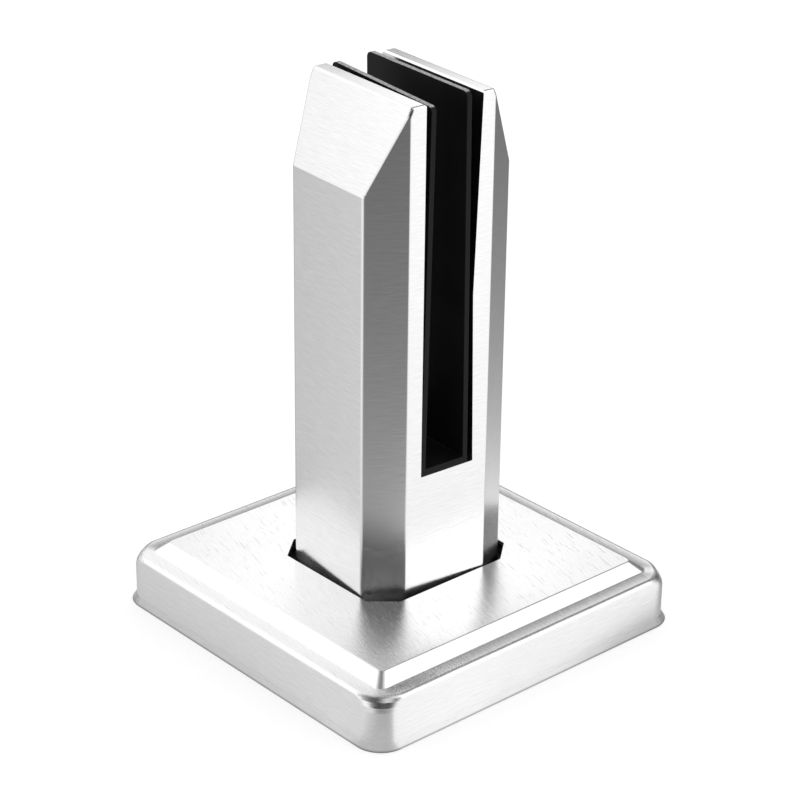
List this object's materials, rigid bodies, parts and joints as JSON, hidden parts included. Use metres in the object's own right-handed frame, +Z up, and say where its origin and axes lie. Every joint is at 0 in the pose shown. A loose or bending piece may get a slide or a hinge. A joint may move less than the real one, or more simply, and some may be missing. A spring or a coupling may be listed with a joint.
{
  "type": "glass panel clamp",
  "caption": "Square-based post clamp that grips the lower edge of a glass balustrade panel in a rubber-lined slot, with a base cover that lifts off its fixings.",
  "frame": {"origin": "centre of the base plate's four anchor holes, on its underside, which stands on the floor", "axes": "+Z up along the post, X along the glass panel, +Y towards the side with the set screws"},
  "size_m": [0.1206, 0.1205, 0.1613],
  "materials": {
    "post_steel": "satin brushed stainless steel",
    "cover_steel": "bright brushed stainless sheet",
    "liner_rubber": "matte black rubber",
    "plate_steel": "plain rolled stainless plate",
    "screw_steel": "turned stainless steel"
  },
  "bodies": {
    "post": {"spigot_body": "post_steel", "slot_liner": "liner_rubber"},
    "cover": {"base_cover": "cover_steel"},
    "plate": {"pressure_plate": "plate_steel"},
    "upper_screw": {"set_screw_upper": "screw_steel"},
    "lower_screw": {"set_screw_lower": "screw_steel"}
  },
  "joints": [
    {"name": "cover_lift", "type": "slide", "parent": "post", "child": "cover", "axis": [0, 0, 1], "range_m": [0, 0.118]},
    {"name": "plate_press", "type": "slide", "parent": "post", "child": "plate", "axis": [0, -1, 0], "range_m": [0, 0.0019]},
    {"name": "upper_screw_feed", "type": "slide", "parent": "post", "child": "upper_screw", "axis": [0, -1, 0], "range_m": [0, 0.0019]},
    {"name": "lower_screw_feed", "type": "slide", "parent": "post", "child": "lower_screw", "axis": [0, -1, 0], "range_m": [0, 0.0019]}
  ],
  "couplings": [
    {"joint": "upper_screw_feed", "follows": "plate_press", "ratio": 1},
    {"joint": "lower_screw_feed", "follows": "plate_press", "ratio": 1}
  ]
}
